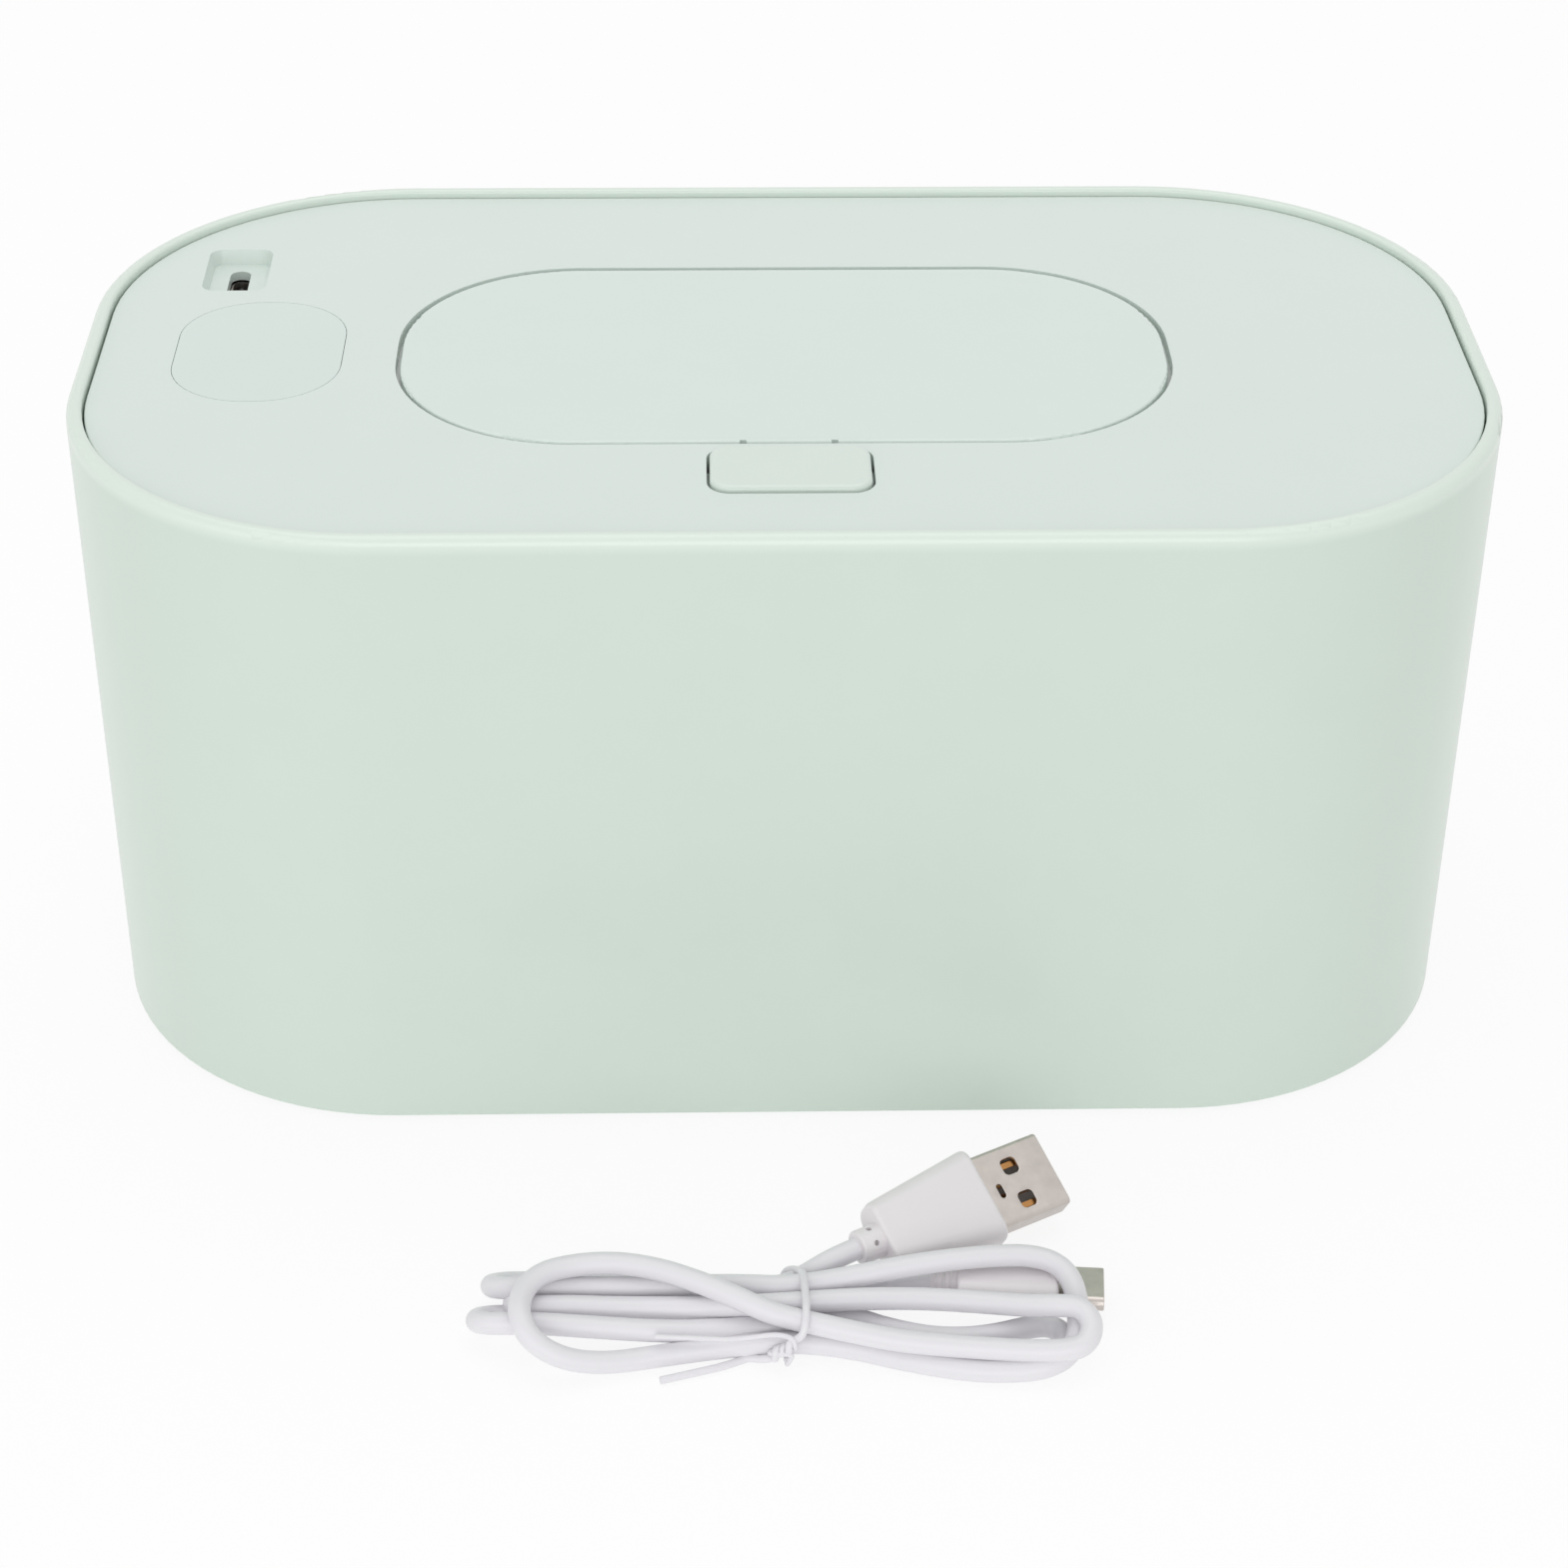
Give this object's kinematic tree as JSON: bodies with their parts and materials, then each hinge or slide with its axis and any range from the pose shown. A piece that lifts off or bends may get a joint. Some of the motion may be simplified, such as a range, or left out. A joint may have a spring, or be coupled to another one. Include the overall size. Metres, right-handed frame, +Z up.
{
  "type": "baby wipe warmer",
  "caption": "Baby wipe warmer: rounded tub with a lift-off heated cover, a push-button flip lid over the dispensing mouth, and a loose USB charging cable.",
  "frame": {"origin": "middle of the body's footprint, on the surface that it stands on", "axes": "+X along the body's length, towards the end without the port; +Y towards the hinge side at the back; +Z up"},
  "size_m": [0.22, 0.1874, 0.105],
  "materials": {
    "mint_plastic": "glossy moulded",
    "white_plastic": "moulded",
    "window": "glossy translucent inlay",
    "silicone": "soft matt",
    "foot_rubber": "matt",
    "aluminium": "satin",
    "heating_film": "amber film",
    "steel": "plated",
    "circuit_board": "solder mask",
    "dark_plastic": "moulded",
    "red_wire": "insulation",
    "plug_metal": "nickel plated",
    "cable_white": "soft satin"
  },
  "bodies": {
    "tub": {"outer_shell": "mint_plastic", "inner_liner": "white_plastic", "rubber_feet": "foot_rubber", "cable_hank": "cable_white", "cable_lead": "cable_white", "twist_tie": "cable_white", "usb_a_shell": "plug_metal", "usb_a_tongue": "white_plastic", "usb_a_grip": "cable_white", "usb_a_collar": "cable_white", "usb_c_shell": "plug_metal", "usb_c_grip": "cable_white", "usb_c_relief": "cable_white"},
    "cover": {"top_panel": "mint_plastic", "display_window": "window", "dispenser_deck": "white_plastic", "dispensing_mouth": "silicone", "cover_frame": "white_plastic", "cover_gasket": "silicone", "cover_screws": "steel", "heater_plate": "aluminium", "heating_film": "heating_film", "heater_screws": "steel", "temperature_sensor": "dark_plastic", "thermal_fuse": "white_plastic", "heater_wires": "red_wire", "control_board": "circuit_board", "board_screws": "steel", "display_module": "white_plastic", "touch_spring": "steel", "usb_socket": "steel", "usb_socket_tongue": "dark_plastic", "hinge_pin": "steel", "hinge_spring": "steel", "button_springs": "steel", "lid_catch": "white_plastic"},
    "lid": {"flip_lid": "mint_plastic", "lid_seal": "silicone"},
    "button": {"button": "mint_plastic"}
  },
  "joints": [
    {"name": "cover_lift", "type": "slide", "parent": "tub", "child": "cover", "axis": [0, 0, 1], "range_m": [0, 0.06]},
    {"name": "lid_hinge", "type": "hinge", "parent": "cover", "child": "lid", "pos_m": [0, 0.0439, 0.0992], "axis": [-1, 0, 0], "range_deg": [0, 92], "deforming": ["hinge_spring"]},
    {"name": "button_press", "type": "slide", "parent": "cover", "child": "button", "axis": [0, 0, -1], "range_m": [0, 0.0016], "stiffness_N_per_m": 400, "springref_m": -0.001, "deforming": ["button_springs", "lid_catch"]}
  ]
}
